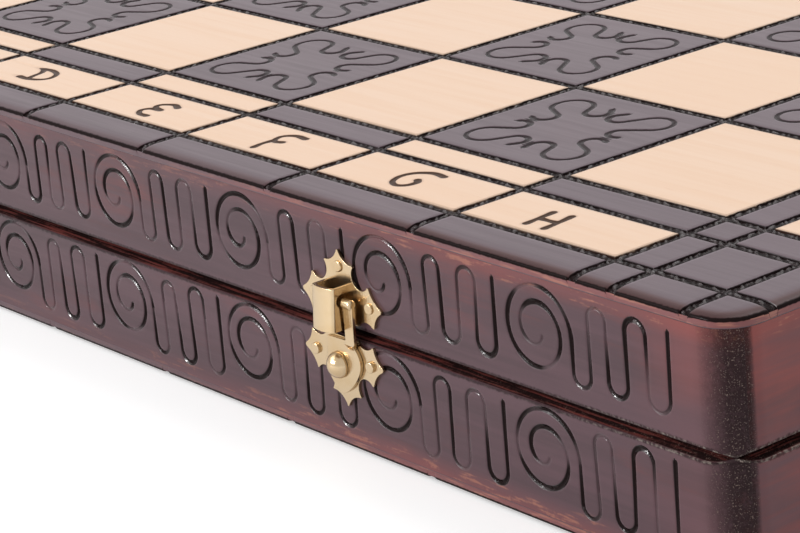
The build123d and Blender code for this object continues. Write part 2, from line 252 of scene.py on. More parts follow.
def round_corners(x, y):
    """Draws the square front corners into quarter circles: x' = x sqrt(1 - y^2 / 2), y' = y sqrt(1 - x^2 / 2)."""
    cx, cy = right - corner_radius, front + corner_radius
    u = np.maximum(np.abs(x) - cx, 0) / corner_radius
    v = np.maximum(cy - y, 0) / corner_radius
    new_x = np.where(u > 0, np.sign(x) * (cx + corner_radius * u * np.sqrt(1 - v**2 / 2)), x)
    new_y = np.where(v > 0, cy - corner_radius * v * np.sqrt(1 - u**2 / 2), y)
    return new_x, new_y


def field_side(kind):
    """Offsets from a field's border inwards, and how deep the surface lies there.

    At a groove it climbs the sloping wall and a rounded arris. At the rim and the hinges the wall goes straight down.
    """
    if kind == "groove":
        return [1.0, groove_half_width, 1.45, 1.75, 2.6], [groove_depth, 0.4, 0.1, 0.0, 0.0]
    if kind == "rim":
        return [0.0, 0.0, 0.12, 0.45, 1.1, 2.1, 3.4, 4.8, 5.3], [1.55, 0.0, 0, 0, 0, 0, 0, 0, 0]
    return [0.0, 0.0, 0.25, 0.7, 1.1], [groove_depth, 0.2, 0.04, 0.0, 0.0]


def across_field(low, high, kinds, inside):
    """Grid lines from one border of a field to the other, the depth of each, and the depth of those at the rim."""
    near, near_depth = field_side(kinds[0])
    far, far_depth = field_side(kinds[1])
    lines = np.concatenate([low + np.array(near), inside, high - np.array(far[::-1])])
    depths = np.concatenate([near_depth, np.zeros(len(inside)), far_depth[::-1]])
    low_side = np.arange(len(lines)) < len(near)
    at_rim = np.where(low_side, kinds[0] == "rim", kinds[1] == "rim")
    return lines, depths, depths * at_rim


def add_field(surface, x_span, y_span, x_kinds, y_kinds, x_inside, y_inside, strokes=(), sink=0.0):
    """A raised field of the board, closed underneath, with the strokes sunk into it to a depth of 0.86 sink."""
    xs, x_depth, x_wall = across_field(*x_span, x_kinds, x_inside)
    ys, y_depth, y_wall = across_field(*y_span, y_kinds, y_inside)
    x, y = round_corners(*np.meshgrid(xs, ys, indexing="ij"))
    share, _, side, _ = reach(x, y, strokes)
    depth = np.maximum.outer(x_depth, y_depth) + eased(x, y) + sink * hollow(share)
    z = board_top - np.minimum(depth, field_depth)
    edge = np.minimum.outer(*(groove_distance(lines, span, kinds)
                              for lines, span, kinds in ((xs, x_span, x_kinds), (ys, y_span, y_kinds))))
    surface.grid(x, y, z, cut=share, side=side, edge=np.clip(edge - groove_half_width, 0, no_groove),
                 rim=eased(x, y), wall=np.maximum.outer(x_wall, y_wall))
    surface.cap(border_of(x), border_of(y), border_of(z))


def groove_distance(lines, span, kinds):
    """How far each grid line is from the middle of the grooves beside its field."""
    low = lines - span[0] if kinds[0] == "groove" else np.full(len(lines), no_groove)
    high = span[1] - lines if kinds[1] == "groove" else np.full(len(lines), no_groove)
    return np.minimum(low, high)


def even(low, high, step, margin=2.7):
    """Grid lines evenly spread inside a field."""
    low, high = low + margin, high - margin
    return np.linspace(low, high, max(2, round((high - low) / step) + 1))[1:-1]


def spans(lines, low, high):
    """The pairs of neighbouring borders."""
    edges = np.concatenate([[low], lines, [high]])
    return list(zip(edges[:-1], edges[1:]))


def motif(rng):
    """The burned ornament of a dark field, in fields from its middle: a loop with two curls in each corner."""
    strokes = []
    for sx in (-1, 1):
        for sy in (-1, 1):
            shake = rng.uniform(-0.008, 0.008, (3, 3))
            circles = [(-0.084, 0.253, 0.060, -1), (-0.268, 0.268, 0.098, 1), (-0.253, 0.084, 0.058, -1)]
            circles = [(x + s[0], y + s[1], r + s[2] / 2, turn) for (x, y, r, turn), s in zip(circles, shake)]
            start, end = -62 + rng.normal(0, 9), 148 + rng.normal(0, 9)
            line = belt(circles, start, end, 0.04, 0.012, 0.006)
            pressure = 1 + 0.16 * np.cos(np.linspace(0, 2 * math.pi, len(line)))
            strokes.append((line * [-sx, sy], pressure))
    return strokes


# Strokes of the letters and numbers, in millimetres from the middle of their field
glyphs = {
    "A": [[(-4.6, -5.6), (-1.8, 0.2), (0.4, 5.6)], [(0.4, 5.6), (2.2, 0), (4.4, -5.6)], [(-3, -1.8), (3.2, -1.6)]],
    "B": [[(-3.8, 5), (-3.4, 0), (-3.7, -5.6)],
          [(-5.4, 4.6), (-1, 5.8), (2.6, 3.4), (-1, 0.4), (3.4, -1.2), (3, -4.4), (-1, -5.8), (-5.4, -5.2)]],
    "C": [[(4.6, 4.8), (0.5, 6), (-4, 3.5), (-4.8, -0.5), (-3, -4.5), (1, -5.8), (4.8, -4.4)]],
    "D": [[(-7.0, 4.1), (-4.5, 1.9), (-4.0, -1.4), (-2.9, -3.9)],
          [(-7.5, 4.3), (-3.2, 4.8), (0.8, 3.3), (2.8, 0.1), (1.6, -2.4), (-2.4, -4.3), (-7.1, -4.4)]],
    "E": [[(6, 3.2), (2.8, 4.4), (-0.6, 2.6), (-0.1, 0.2), (3.6, -0.8)],
          [(3.4, -0.7), (0, -1.5), (-0.8, -3.9), (1.6, -6.2), (4.9, -6.3)]],
    "F": [[(4.6, 5.6), (0.2, 5.9), (-2.4, 3.8), (-2.1, 1), (-0.2, -0.5), (1.7, 0.5)],
          [(-1.6, -0.6), (-2, -3.4), (-1.4, -6.6)]],
    "G": [[(4.6, 5.4), (0.2, 6), (-3.8, 3.8), (-4.9, -0.2), (-3.6, -3.9), (-0.4, -5.2), (2.1, -3.9), (2.4, -1.2),
           (1, 0.3)]],
    "H": [[(-8.3, 3), (-7.8, -1.8), (-7.5, -6.2)], [(-2.2, 3.5), (-1.6, -1.2), (-1, -6)], [(-7, -1.9), (-2.2, -1.5)]],
    "1": [[(-2.6, 2.8), (0.4, 5.8)], [(0.4, 5.8), (0.6, 0), (0.4, -5.8)]],
    "2": [[(-3.4, 3.4), (-0.8, 5.8), (3, 4), (1.6, 0.2), (-3.6, -5.2)], [(-3.6, -5.2), (0, -5.6), (3.8, -5.2)]],
    "3": [[(-3.2, 4.8), (0.6, 5.8), (3, 3.4), (-0.2, 0.6)], [(-0.2, 0.6), (3.8, -2), (1, -5.6), (-3.6, -4.6)]],
    "4": [[(1.4, 5.8), (-1.6, 2), (-4, -1.6)], [(-4, -1.6), (4, -1.4)], [(1.8, 1.6), (1.6, -5.8)]],
    "5": [[(3.2, 5.4), (-2.4, 5.4)], [(-2.4, 5.4), (-2.8, 0.8)],
          [(-2.8, 0.8), (1.6, 1.6), (3.6, -2), (0.8, -5.6), (-3.4, -4.6)]],
    "6": [[(2.6, 5.6), (-2.2, 3), (-3.4, -2.6), (-0.2, -5.8), (3.2, -2.8), (0.4, 0.4), (-3, -2)]],
    "7": [[(-3.6, 5.2), (0, 5), (3.6, 5.2)], [(3.6, 5.2), (0.4, 0), (-1, -5.8)]],
    "8": [[(0, 0.4), (-3, 3), (0, 5.8), (3, 3), (0, 0.4), (-3.6, -2.6), (0, -5.8), (3.6, -2.6), (0, 0.4)]],
}


def lettering(sign, x, y, half, rng):
    """A letter's strokes at a place. On the base they are mirrored, to read from below."""
    side = 1 if half == "lid" else -1
    strokes = []
    for points in glyphs[sign]:
        line = drawn(np.array(points) + rng.normal(0, 0.12, (len(points), 2)))
        width = 1.0 + 0.14 * np.cos(np.linspace(0.5, 5.5, len(line)))
        strokes.append((line * [side, 1] + [x, y], width))
    return strokes


def is_light(half, file, rank):
    """The field at the right of the first rank is light."""
    return (file + rank) % 2 == (1 if half == "lid" else 0)


# --- materials ---


def arithmetic(operation, swap=False):
    """A method that joins a value and another one, or a number, in a Math node."""
    def method(self, other):
        pair = (other, self) if swap else (self, other)
        return self.finish.node("ShaderNodeMath", {"operation": operation}, dict(enumerate(pair)))
    return method


class Term:
    """A value in a material. Arithmetic on it adds Math nodes."""
    __add__ = __radd__ = arithmetic("ADD")
    __mul__ = __rmul__ = arithmetic("MULTIPLY")
    __sub__, __rsub__ = arithmetic("SUBTRACT"), arithmetic("SUBTRACT", swap=True)
    least, most = arithmetic("MINIMUM"), arithmetic("MAXIMUM")

    def __init__(self, finish, socket):
        self.finish, self.socket = finish, socket


class Finish:
    """A material being made: one Principled BSDF and the nodes that feed it."""

    def __init__(self, name, **fixed):
        self.material = bpy.data.materials.new(name)
        self.material.use_nodes = True
        self.tree = self.material.node_tree
        self.shader = self.tree.nodes["Principled BSDF"]
        for socket, value in fixed.items():
            socket = socket.replace("_", " ").title().replace("Ior", "IOR")
            self.shader.inputs[socket].default_value = value
        self.place = self.node("ShaderNodeTexCoord", {}, {}, "Object")

    def node(self, kind, chosen, sockets, out=0):
        """Adds a node of a kind, makes its settings and then fills its sockets with values or links."""
        node = self.tree.nodes.new(kind)
        for name, value in chosen.items():
            setattr(node, name, value)
        for name, value in sockets.items():
            if isinstance(value, Term):
                self.tree.links.new(value.socket, node.inputs[name])
            elif isinstance(value, tuple) and node.inputs[name].type == "RGBA":
                node.inputs[name].default_value = (*value[:3], 1)
            else:
                node.inputs[name].default_value = value
        return Term(self, node.outputs[out])

    def feed(self, socket, value):
        self.tree.links.new(value.socket, self.shader.inputs[socket])

    def mark(self, name):
        """A value that the mesh carries."""
        return self.node("ShaderNodeAttribute", {"attribute_name": name}, {}, "Fac")

    def stroke(self):
        """How far a place is from the middle of its stroke, in half widths."""
        side = self.mark("side")
        return side.most(side * -1.0).most(self.mark("cut") - 0.45)

    def axes(self):
        """The three coordinates, in metres."""
        return [self.node("ShaderNodeSeparateXYZ", {}, {0: self.place}, axis) for axis in range(3)]

    def noise(self, scale, detail=2.0, roughness=0.5, shift=0.0):
        """Noise with so many waves to the metre along each axis."""
        moved = (shift, shift * 0.7, shift * 1.3)
        place = self.node("ShaderNodeMapping", {}, {"Vector": self.place, "Scale": scale, "Location": moved})
        sockets = {"Vector": place, "Scale": 1.0, "Detail": detail, "Roughness": roughness}
        return self.node("ShaderNodeTexNoise", {}, sockets, "Fac")

    def between(self, value, low, high, start=0.0, end=1.0):
        """start below low, end above high, and a smooth passage between."""
        sockets = {"Value": value, "From Min": low, "From Max": high, "To Min": start, "To Max": end}
        return self.node("ShaderNodeMapRange", {"interpolation_type": "SMOOTHSTEP"}, sockets)

    def mix(self, share, first, second):
        """Two colours mixed, with this share of the second."""
        return self.node("ShaderNodeMix", {"data_type": "RGBA"}, {0: share, 6: first, 7: second}, 2)

    def bump(self, height, distance, strength=1.0, under=()):
        """height in shares of distance, which is in metres, over the smooth normal or another one."""
        sockets = {"Height": height, "Distance": distance, "Strength": strength, **dict(under)}
        self.normal = self.node("ShaderNodeBump", {}, sockets, "Normal")
        self.feed("Normal", self.normal)

    def burn(self, share, ior=1.1, roughness=0.2, colour=None):
        """Burned wood over the finish, also used for painted shade: nearly black unless a colour is given, with a faint
        sharp reflection.
        """
        sockets = {"Base Color": colour or picked("burned"), "Roughness": roughness, "IOR": ior, "Normal": self.normal}
        burned = self.node("ShaderNodeBsdfPrincipled", {}, sockets)
        under = Term(self, self.shader.outputs[0])
        both = self.node("ShaderNodeMixShader", {}, {0: share, 1: under, 2: burned})
        self.tree.links.new(both.socket, self.tree.nodes["Material Output"].inputs["Surface"])


def grain_stretch(axis, along, across):
    """Waves to the metre for a grain that runs along an axis."""
    return tuple(along if i == axis else across for i in range(3))


def picked(name):
    """A colour that the panel shows."""
    return tuple(getattr(settings(), name))


def shade(colour, *shares):
    """A colour times one share, or times a share for each channel."""
    return tuple(c * share for c, share in zip(colour, shares * 3))


# Wood that shows through where the stain is thin, and dust and bare wood at the corners and rims; the bare wood is also
# a painted highlight along the rim's arris
flame_red = (0.34, 0.13, 0.085)
corner_dust = (0.2, 0.145, 0.12)
bare_wood_and_highlight = (0.4, 0.33, 0.29)


def make_rail_stain(name, axis, carved, redness):
    """Dark plum stain under satin lacquer, rubbed to red in patches, burned nearly black in the cuts, with painted
    shade that is nearly black at the corners and the seam's rim and darkens the left end.
    """
    f = Finish(name, ior=1.36)
    grain = f.noise(grain_stretch(axis, 22, 700), 3.0, 0.6)
    streaks = f.noise(grain_stretch(axis, 9, 110), 3.0, 0.55, shift=3.0)
    worn = f.noise(grain_stretch(axis, 13, 34), 4.0, 0.6, shift=8.0)
    flecks = f.noise((900, 900, 900), 2.0, 0.6, shift=5.0)
    stain, red = picked("stain"), picked("worn_stain")
    colour = f.mix(f.between(streaks + grain * 0.5, 0.55, 1.0), stain, shade(stain, 0.7))
    patches = f.between(worn + (grain - 0.5) * 0.3 + redness, 0.52, 0.8, 0.0, 0.6)
    if not carved:
        f.feed("Base Color", f.mix(patches * 0.8, colour, red))
        f.feed("Roughness", 0.4 + (grain - 0.5) * 0.2)
        f.bump(grain * 0.5 + streaks * 0.5 + flecks * 0.25, 0.00016, 0.5)
        return

    # Redder towards the right, along the board's edge and most of all beside the right corner
    edge, corner, press, cut = f.mark("edge"), f.mark("corner"), f.mark("press"), f.stroke()
    along, _, high = f.axes()
    rim = f.between(edge + (streaks - 0.5) * 5.0, 22.0, 27.5) * f.between(along, 0.02, 0.2, 0.08, 0.45)
    near = f.between(along + (worn - 0.5) * 0.05, 0.235, 0.262)
    near = near * f.between(high + (worn - 0.5) * 0.03, 0.036, 0.052, 0.12, 0.45) * (1 - corner * 0.8)
    patches = patches * f.between(along, -0.12, 0.18, 0.5, 1.0) + rim + near
    colour = f.mix(patches.least(1.0) * 0.8, colour, red)

    # Fibres on the bevel, darkened as painted shade in the groove at the seam, dust at the corners, flames of bare red
    # wood and the rubbed line at the rim, painted lighter as a highlight
    fine = f.noise((3000, 3000, 3000), 2.0, 0.6, shift=11.0)
    fibres = f.noise(grain_stretch(axis, 60, 1500), 2.0, 0.5, shift=6.0)
    flames = f.noise(grain_stretch(axis, 110, 900), 2.0, 0.5, shift=14.0)
    bevel = f.between(edge, -0.5, -0.1, 1.0, 0.0) * f.between(edge, -6.0, -5.0)
    # The bevel's fibres are kept dark red: painted shade in the groove between lid and base
    colour = f.mix(bevel, colour, f.mix(f.between(fibres, 0.45, 0.7), shade(red, 0.2), shade(red, 0.7)))
    dusty = (corner + bevel * f.between(along, 0.1, 0.25, 0.15, 0.7)).least(1.0)
    specks = f.between(fine, 0.58, 0.66) * f.between(flecks, 0.35, 0.6) * dusty
    colour = f.mix(specks, colour, corner_dust)
    pale = f.between(flames + (flecks - 0.5) * 0.3, 0.54, 0.7) * f.between(along, 0.0, 0.2, 0.15, 0.6)
    colour = f.mix(pale * f.between(edge + (flames - 0.5) * 6.0, 24.0, 26.5), colour, flame_red)
    # Painted highlight: a thin light line of rubbed bare wood along the arris at the rim, mostly at the right end
    rubbed = f.between(edge + (grain - 0.5), -0.25, 0.15) * f.between(edge, 0.2, 0.6, 1.0, 0.0)
    rubbed = rubbed * f.between(flecks, 0.42, 0.6) * f.between(along, 0.2, 0.25, 0.12, 1.0)
    colour = f.mix(rubbed, colour, bare_wood_and_highlight)

    # The gouged line: burned where it was pressed hard, and lacquered here and there, so that its lit wall shines
    deep = f.between(press, 0.62, 0.9)
    colour = f.mix(f.between(cut, 0.8, 1.1, 1.0, 0.0) * (deep * 0.6 + 0.25), colour, picked("burned"))
    f.feed("Base Color", colour)
    shine = f.between(f.noise((42, 42, 42), 1.0, 0.5, shift=21.0), 0.47, 0.55)
    groove = f.between(cut, 0.9, 1.2, 1.0, 0.0)
    satin = (0.36 + (grain - 0.5) * 0.16) * (1 - groove * shine * 0.5)
    f.feed("Roughness", satin + groove * (1 - shine) * 0.12)
    wall = cut.least(1.05) - 1.05
    relief = wall * press * (wall * 1.1 + 2.7)
    f.bump(relief + grain * 0.12 + streaks * 0.12 + flecks * 0.08, 0.0001, 1.0)
    lit = f.between(f.mark("lit"), 0.55, 0.85)
    groove_burn_and_shade = f.between(cut, 0.7, 0.95, 1.0, 0.0) * (deep * 0.95 + 0.05) * (1 - lit * shine * 0.95)
    # Painted shade: the face is darkened towards the left, and the whole left end rail with it
    groove_burn_and_shade = groove_burn_and_shade.most(f.between(along, -0.16, 0.06, 0.18, 0.0))
    # Painted shade, nearly black: at the rounded corner, on the bevel in the seam's gap and on the face just above the
    # seam, broken where dust specks lie
    painted_corner_shade = corner * f.between(flecks + corner * 0.2, 0.3, 0.7, 0.45, 0.82)
    painted_gap_shadow = bevel * f.between(fibres + (flecks - 0.5) * 0.3, 0.42, 0.62, 0.95, 0.35)
    painted_seam_shadow = f.between(edge + (flecks - 0.5), 0.25, 0.9, 0.7, 0.0) * f.between(edge, -0.3, 0.1)
    shadow = painted_seam_shadow.most(painted_corner_shade).most(painted_gap_shadow) * (1 - specks * 0.85)
    f.burn(groove_burn_and_shade.most(shadow), ior=1.11, roughness=0.15)


def make_light_wood(name, lettered=False):
    """Cream birch under lacquer with a fine grain along the fields, and burned strokes on the lettered fields."""
    f = Finish(name, ior=1.47)
    grain = f.noise((16, 430, 430), 3.0, 0.55)
    cloud = f.noise((10, 26, 26), 3.0, 0.5, shift=2.0)
    pores = f.noise((120, 1900, 1900), 1.0, 0.5, shift=9.0)
    edge = f.mark("edge")
    pale = picked("light_wood")
    colour = f.mix(f.between(grain, 0.35, 0.75), pale, shade(pale, 0.975, 0.94, 0.9))
    colour = f.mix(f.between(cloud, 0.35, 0.75, 0.0, 0.8), colour, shade(pale, 0.99, 0.95, 0.9))
    colour = f.mix(f.between(pores, 0.68, 0.8, 0.0, 0.35), colour, shade(pale, 0.85, 0.72, 0.6))
    colour = f.mix(f.between(edge, 0.25, 1.1, 0.35, 0.0), colour, picked("scorched"))
    f.feed("Roughness", 0.34 + (grain - 0.5) * 0.12)
    burned = f.between(edge + (grain - 0.5) * 0.4, 0.02, 0.25, 1.0, 0.0)
    if lettered:
        cut = f.mark("cut")
        f.bump(f.between(cut, 0.3, 1.1) * 2.0 + grain * 0.3, 0.0001, 0.7)
        f.feed("Base Color", f.mix(f.between(cut, 1.0, 1.7, 0.3, 0.0), colour, (0.3, 0.14, 0.07)))
        burned = burned.most(f.between(cut, 0.85, 1.05, 0.93, 0.0))
        f.burn(burned, ior=1.07, colour=(0.03, 0.013, 0.009))
    else:
        f.bump(grain, 0.00006, 0.4)
        f.feed("Base Color", colour)
        f.burn(burned)


def make_dark_wood(name, carved=False):
    """Dark stained birch under lacquer: a greyish sheen on top, rubbed to dark red at the rim and darkened there as
    painted shade, with the burned ornament.
    """
    f = Finish(name, ior=1.46)
    grain = f.noise((20, 520, 520), 3.0, 0.6, shift=1.0)
    cloud = f.noise((14, 22, 22), 3.0, 0.5, shift=4.0)
    dust = f.noise((900, 900, 900), 1.0, 0.5, shift=6.0)
    flames = f.noise((110, 110, 900), 2.0, 0.5, shift=14.0)
    stain, red = picked("field_stain"), picked("worn_stain")
    colour = f.mix(f.between(grain, 0.3, 0.75), stain, shade(stain, 0.84))
    colour = f.mix(f.between(cloud, 0.4, 0.75, 0.0, 0.5), colour, shade(stain, 1.2))
    edge, rim, wall = f.mark("edge"), f.mark("rim"), f.mark("wall")
    along = f.axes()[0]
    # Along the eased rim the colour turns dark red, partly rubbed stain and partly painted shade, more towards the
    # right
    shaded = f.between(along, 0.0, 0.22, 0.35, 1.0)
    eased_wear_and_shade = f.between(rim + (cloud - 0.5) * 0.35, 0.0, 0.3, 0.0, 0.8) * shaded
    colour = f.mix(eased_wear_and_shade, colour, shade(red, 0.28))

    # The wall down the rim is the rail's wood, redder towards the right
    redness = f.between(grain + (cloud - 0.5) * 0.8 + f.between(along, 0.02, 0.2, -0.3, 0.3), 0.25, 0.8)
    face = f.mix(redness * 0.5, picked("stain"), red)
    face = f.mix(f.between(flames, 0.5, 0.66) * f.between(along, 0.05, 0.2, 0.1, 0.6), face, flame_red)
    colour = f.mix(f.between(wall + (dust - 0.5) * 0.2, 0.1, 0.3), colour, face)
    f.feed("Base Color", colour)
    f.feed("Roughness", 0.36 + (grain - 0.5) * 0.14)

    # Burned beside the grooves, and painted shade along the eased rim, nearly black at its arris, but not on the wall
    face_only = f.between(wall + (dust - 0.5) * 0.3, 0.2, 0.45, 1.0, 0.0)
    burned = f.between(edge + (grain - 0.5) * 0.4, 0.02, 0.25, 1.0, 0.0)
    painted_rim_shade = f.between(rim + (cloud - 0.5) * 0.4, 0.03, 0.5, 0.0, 0.4) * shaded
    arris = f.between(rim + (dust - 0.5) * 0.2, 0.48, 0.8).most(painted_rim_shade)
    burned = burned.most(arris) * face_only
    if carved:
        cut = f.stroke()
        f.bump(cut.least(1.0) * 2.5 + grain * 0.3, 0.0001, 0.8)
        burned = burned.most(f.between(cut + (dust - 0.5) * 0.2, 0.75, 1.0, 0.86, 0.0))
    else:
        f.bump(grain + dust * 0.3, 0.00008, 0.5)
    f.burn(burned)


def make_rope_burn(name):
    """The stamped and burned grooves: matt black between the strands and a dark sheen on their ridges."""
    f = Finish(name, ior=1.31)
    soot = f.noise((1000, 1000, 1000), 3.0, 0.6)
    f.feed("Base Color", f.mix(soot, picked("burned"), (0.045, 0.026, 0.028)))
    f.feed("Roughness", 0.12 + (soot - 0.5) * 0.15)
    f.bump(soot, 0.0005, 1.0)
    f.burn(f.between(f.mark("ridge") + (soot - 0.5) * 1.3, 0.4, 0.75, 1.0, 0.0), roughness=0.14)


def make_plain_wood(name):
    """The stained underside of the board sheets."""
    f = Finish(name, ior=1.5)
    grain = f.noise((14, 420, 420), 3.0, 0.6)
    stain = picked("stain")
    f.feed("Base Color", f.mix(f.between(grain, 0.3, 0.75), shade(stain, 0.8), shade(stain, 0.4)))
    f.feed("Roughness", 0.45 + (grain - 0.5) * 0.2)
    f.bump(grain, 0.0001, 0.5)


def make_brass(name):
    """Pale plated brass, thinly scratched, with a faint warm tarnish and slightly rounded edges."""
    f = Finish(name, metallic=1.0)
    tarnish = f.noise((60, 60, 90), 3.0, 0.6)
    scratches = f.noise((2600, 2600, 160), 2.0, 0.6, shift=2.0)
    waves = f.noise((170, 170, 170), 2.0, 0.5, shift=7.0)
    plate = picked("brass")
    f.feed("Base Color", f.mix(f.between(tarnish, 0.42, 0.75, 0.0, 0.6), plate, shade(plate, 0.9, 0.8, 0.62)))
    f.feed("Roughness", 0.2 + (tarnish - 0.5) * 0.22 + (scratches - 0.5) * 0.14)
    rounded = f.node("ShaderNodeBevel", {"samples": 6}, {"Radius": 0.00022})
    f.bump(scratches * 0.35 + waves, 0.00012, 0.5, {"Normal": rounded})


def make_steel(name):
    """The drawn wire of the hinge pins."""
    f = Finish(name, metallic=1.0, base_color=(0.5, 0.49, 0.46, 1))
    drawn_lines = f.noise((60, 3000, 3000), 2.0, 0.6)
    f.feed("Roughness", 0.3 + (drawn_lines - 0.5) * 0.25)
    f.bump(drawn_lines, 0.00003, 0.5)


def make_felt(name):
    """Short matted felt: mottled green with a fuzzy relief."""
    f = Finish(name, sheen_weight=0.25, sheen_roughness=0.5, roughness=0.95, ior=1.3)
    fuzz = f.noise((1500, 1500, 1500), 3.0, 0.7)
    mottle = f.noise((160, 160, 160), 3.0, 0.6, shift=3.0)
    green = picked("felt")
    mottled = f.between(fuzz + (mottle - 0.5) * 0.6, 0.3, 0.75)
    f.feed("Base Color", f.mix(mottled, shade(green, 0.6), shade(green, 1.5)))
    f.bump(fuzz + mottle, 0.0004, 0.7)


# What makes each material, and what it is told beside the name
makers = {
    "front_stain": (make_rail_stain, 0, True, 0.0),
    "end_stain": (make_rail_stain, 1, True, 0.12),
    "back_stain": (make_rail_stain, 0, False, 0.04),
    "light_wood": (make_light_wood,),
    "lettered_wood": (make_light_wood, True),
    "dark_wood": (make_dark_wood,),
    "ornament_wood": (make_dark_wood, True),
    "rope_burn": (make_rope_burn,),
    "plain_wood": (make_plain_wood,),
    "pale_brass": (make_brass,),
    "drawn_steel": (make_steel,),
    "tray_felt": (make_felt,),
}


def material(name):
    """A material by name, made the first time it is asked for."""
    if name not in bpy.data.materials:
        make, *told = makers[name]
        make(name, *told)
    return bpy.data.materials[name]


# --- sizes and colours ---


def panel_length(name, description, default, **limits):
    """A size in metres for the panel."""
    return bpy.props.FloatProperty(
        name=name, description=description, default=default, subtype="DISTANCE", unit="LENGTH", **limits)


def panel_colour(name, description, default):
    """A colour for the panel."""
    return bpy.props.FloatVectorProperty(
        name=name, description=description, subtype="COLOR", size=3, default=default, min=0, max=1)


class ChessBoxSettings(bpy.types.PropertyGroup):
    carving_depth: panel_length(
        "Carving depth", "How deep the spiral line is gouged into the rails", 0.00046, min=0.0, max=0.002)
    carving_half_width: panel_length(
        "Carving half width", "Half the width of the gouged line", 0.00072, min=0.0003, max=0.002)
    ornament_depth: panel_length(
        "Ornament depth", "How deep the ornament is burned into the dark fields", 0.0003, min=0.0, max=0.0012)
    ornament_half_width: panel_length(
        "Ornament half width", "Half the width of the burned ornament's line", 0.00095, min=0.0003, max=0.002)
    rope_pitch: panel_length(
        "Rope pitch", "From one ridge of the stamped rope to the next", 0.0023, min=0.001, max=0.006)
    eased_width: panel_length("Eased width", "How far in from the rim the board's edge starts to fall", 0.0048)
    eased_drop: panel_length("Eased drop", "How far the board's edge has fallen at the rim", 0.0012)
    stain: panel_colour("Rail stain", "Plum stain of the rails", (0.081, 0.038, 0.048))
    worn_stain: panel_colour("Worn stain", "Reddish wood where the stain is rubbed", (0.25, 0.052, 0.043))
    field_stain: panel_colour("Field stain", "Stain of the dark fields", (0.098, 0.059, 0.074))
    light_wood: panel_colour("Light wood", "Lacquered birch of the light fields", (0.775, 0.545, 0.392))
    # This colour is also laid as painted shade at the rails' corners and seam and on the board's eased rim
    burned: panel_colour("Burned wood", "Nearly black wood in grooves and cuts", (0.011, 0.006, 0.006))
    scorched: panel_colour("Scorched borders", "Brown of the wood beside the burned grooves", (0.03, 0.009, 0.007))
    brass: panel_colour("Brass", "Pale plated brass of the fittings", (0.545, 0.417, 0.266))
    felt: panel_colour("Felt", "Felt that lines both trays", (0.05, 0.16, 0.09))
    camera_place: bpy.props.FloatVectorProperty(
        name="Camera place", description="Where the camera stands", subtype="TRANSLATION", size=3,
        unit="LENGTH", default=(0.67745, -0.53161, 0.27505))
    camera_turn: bpy.props.FloatVectorProperty(
        name="Camera turn", description="How the camera is turned", subtype="EULER", size=3, unit="ROTATION",
        default=tuple(math.radians(angle) for angle in (71.108, 4.932, 50.751)))
    camera_lens: bpy.props.FloatProperty(
        name="Camera lens", description="Focal length on a sensor 36 mm wide", default=132.17, unit="CAMERA")


# --- pieces ---


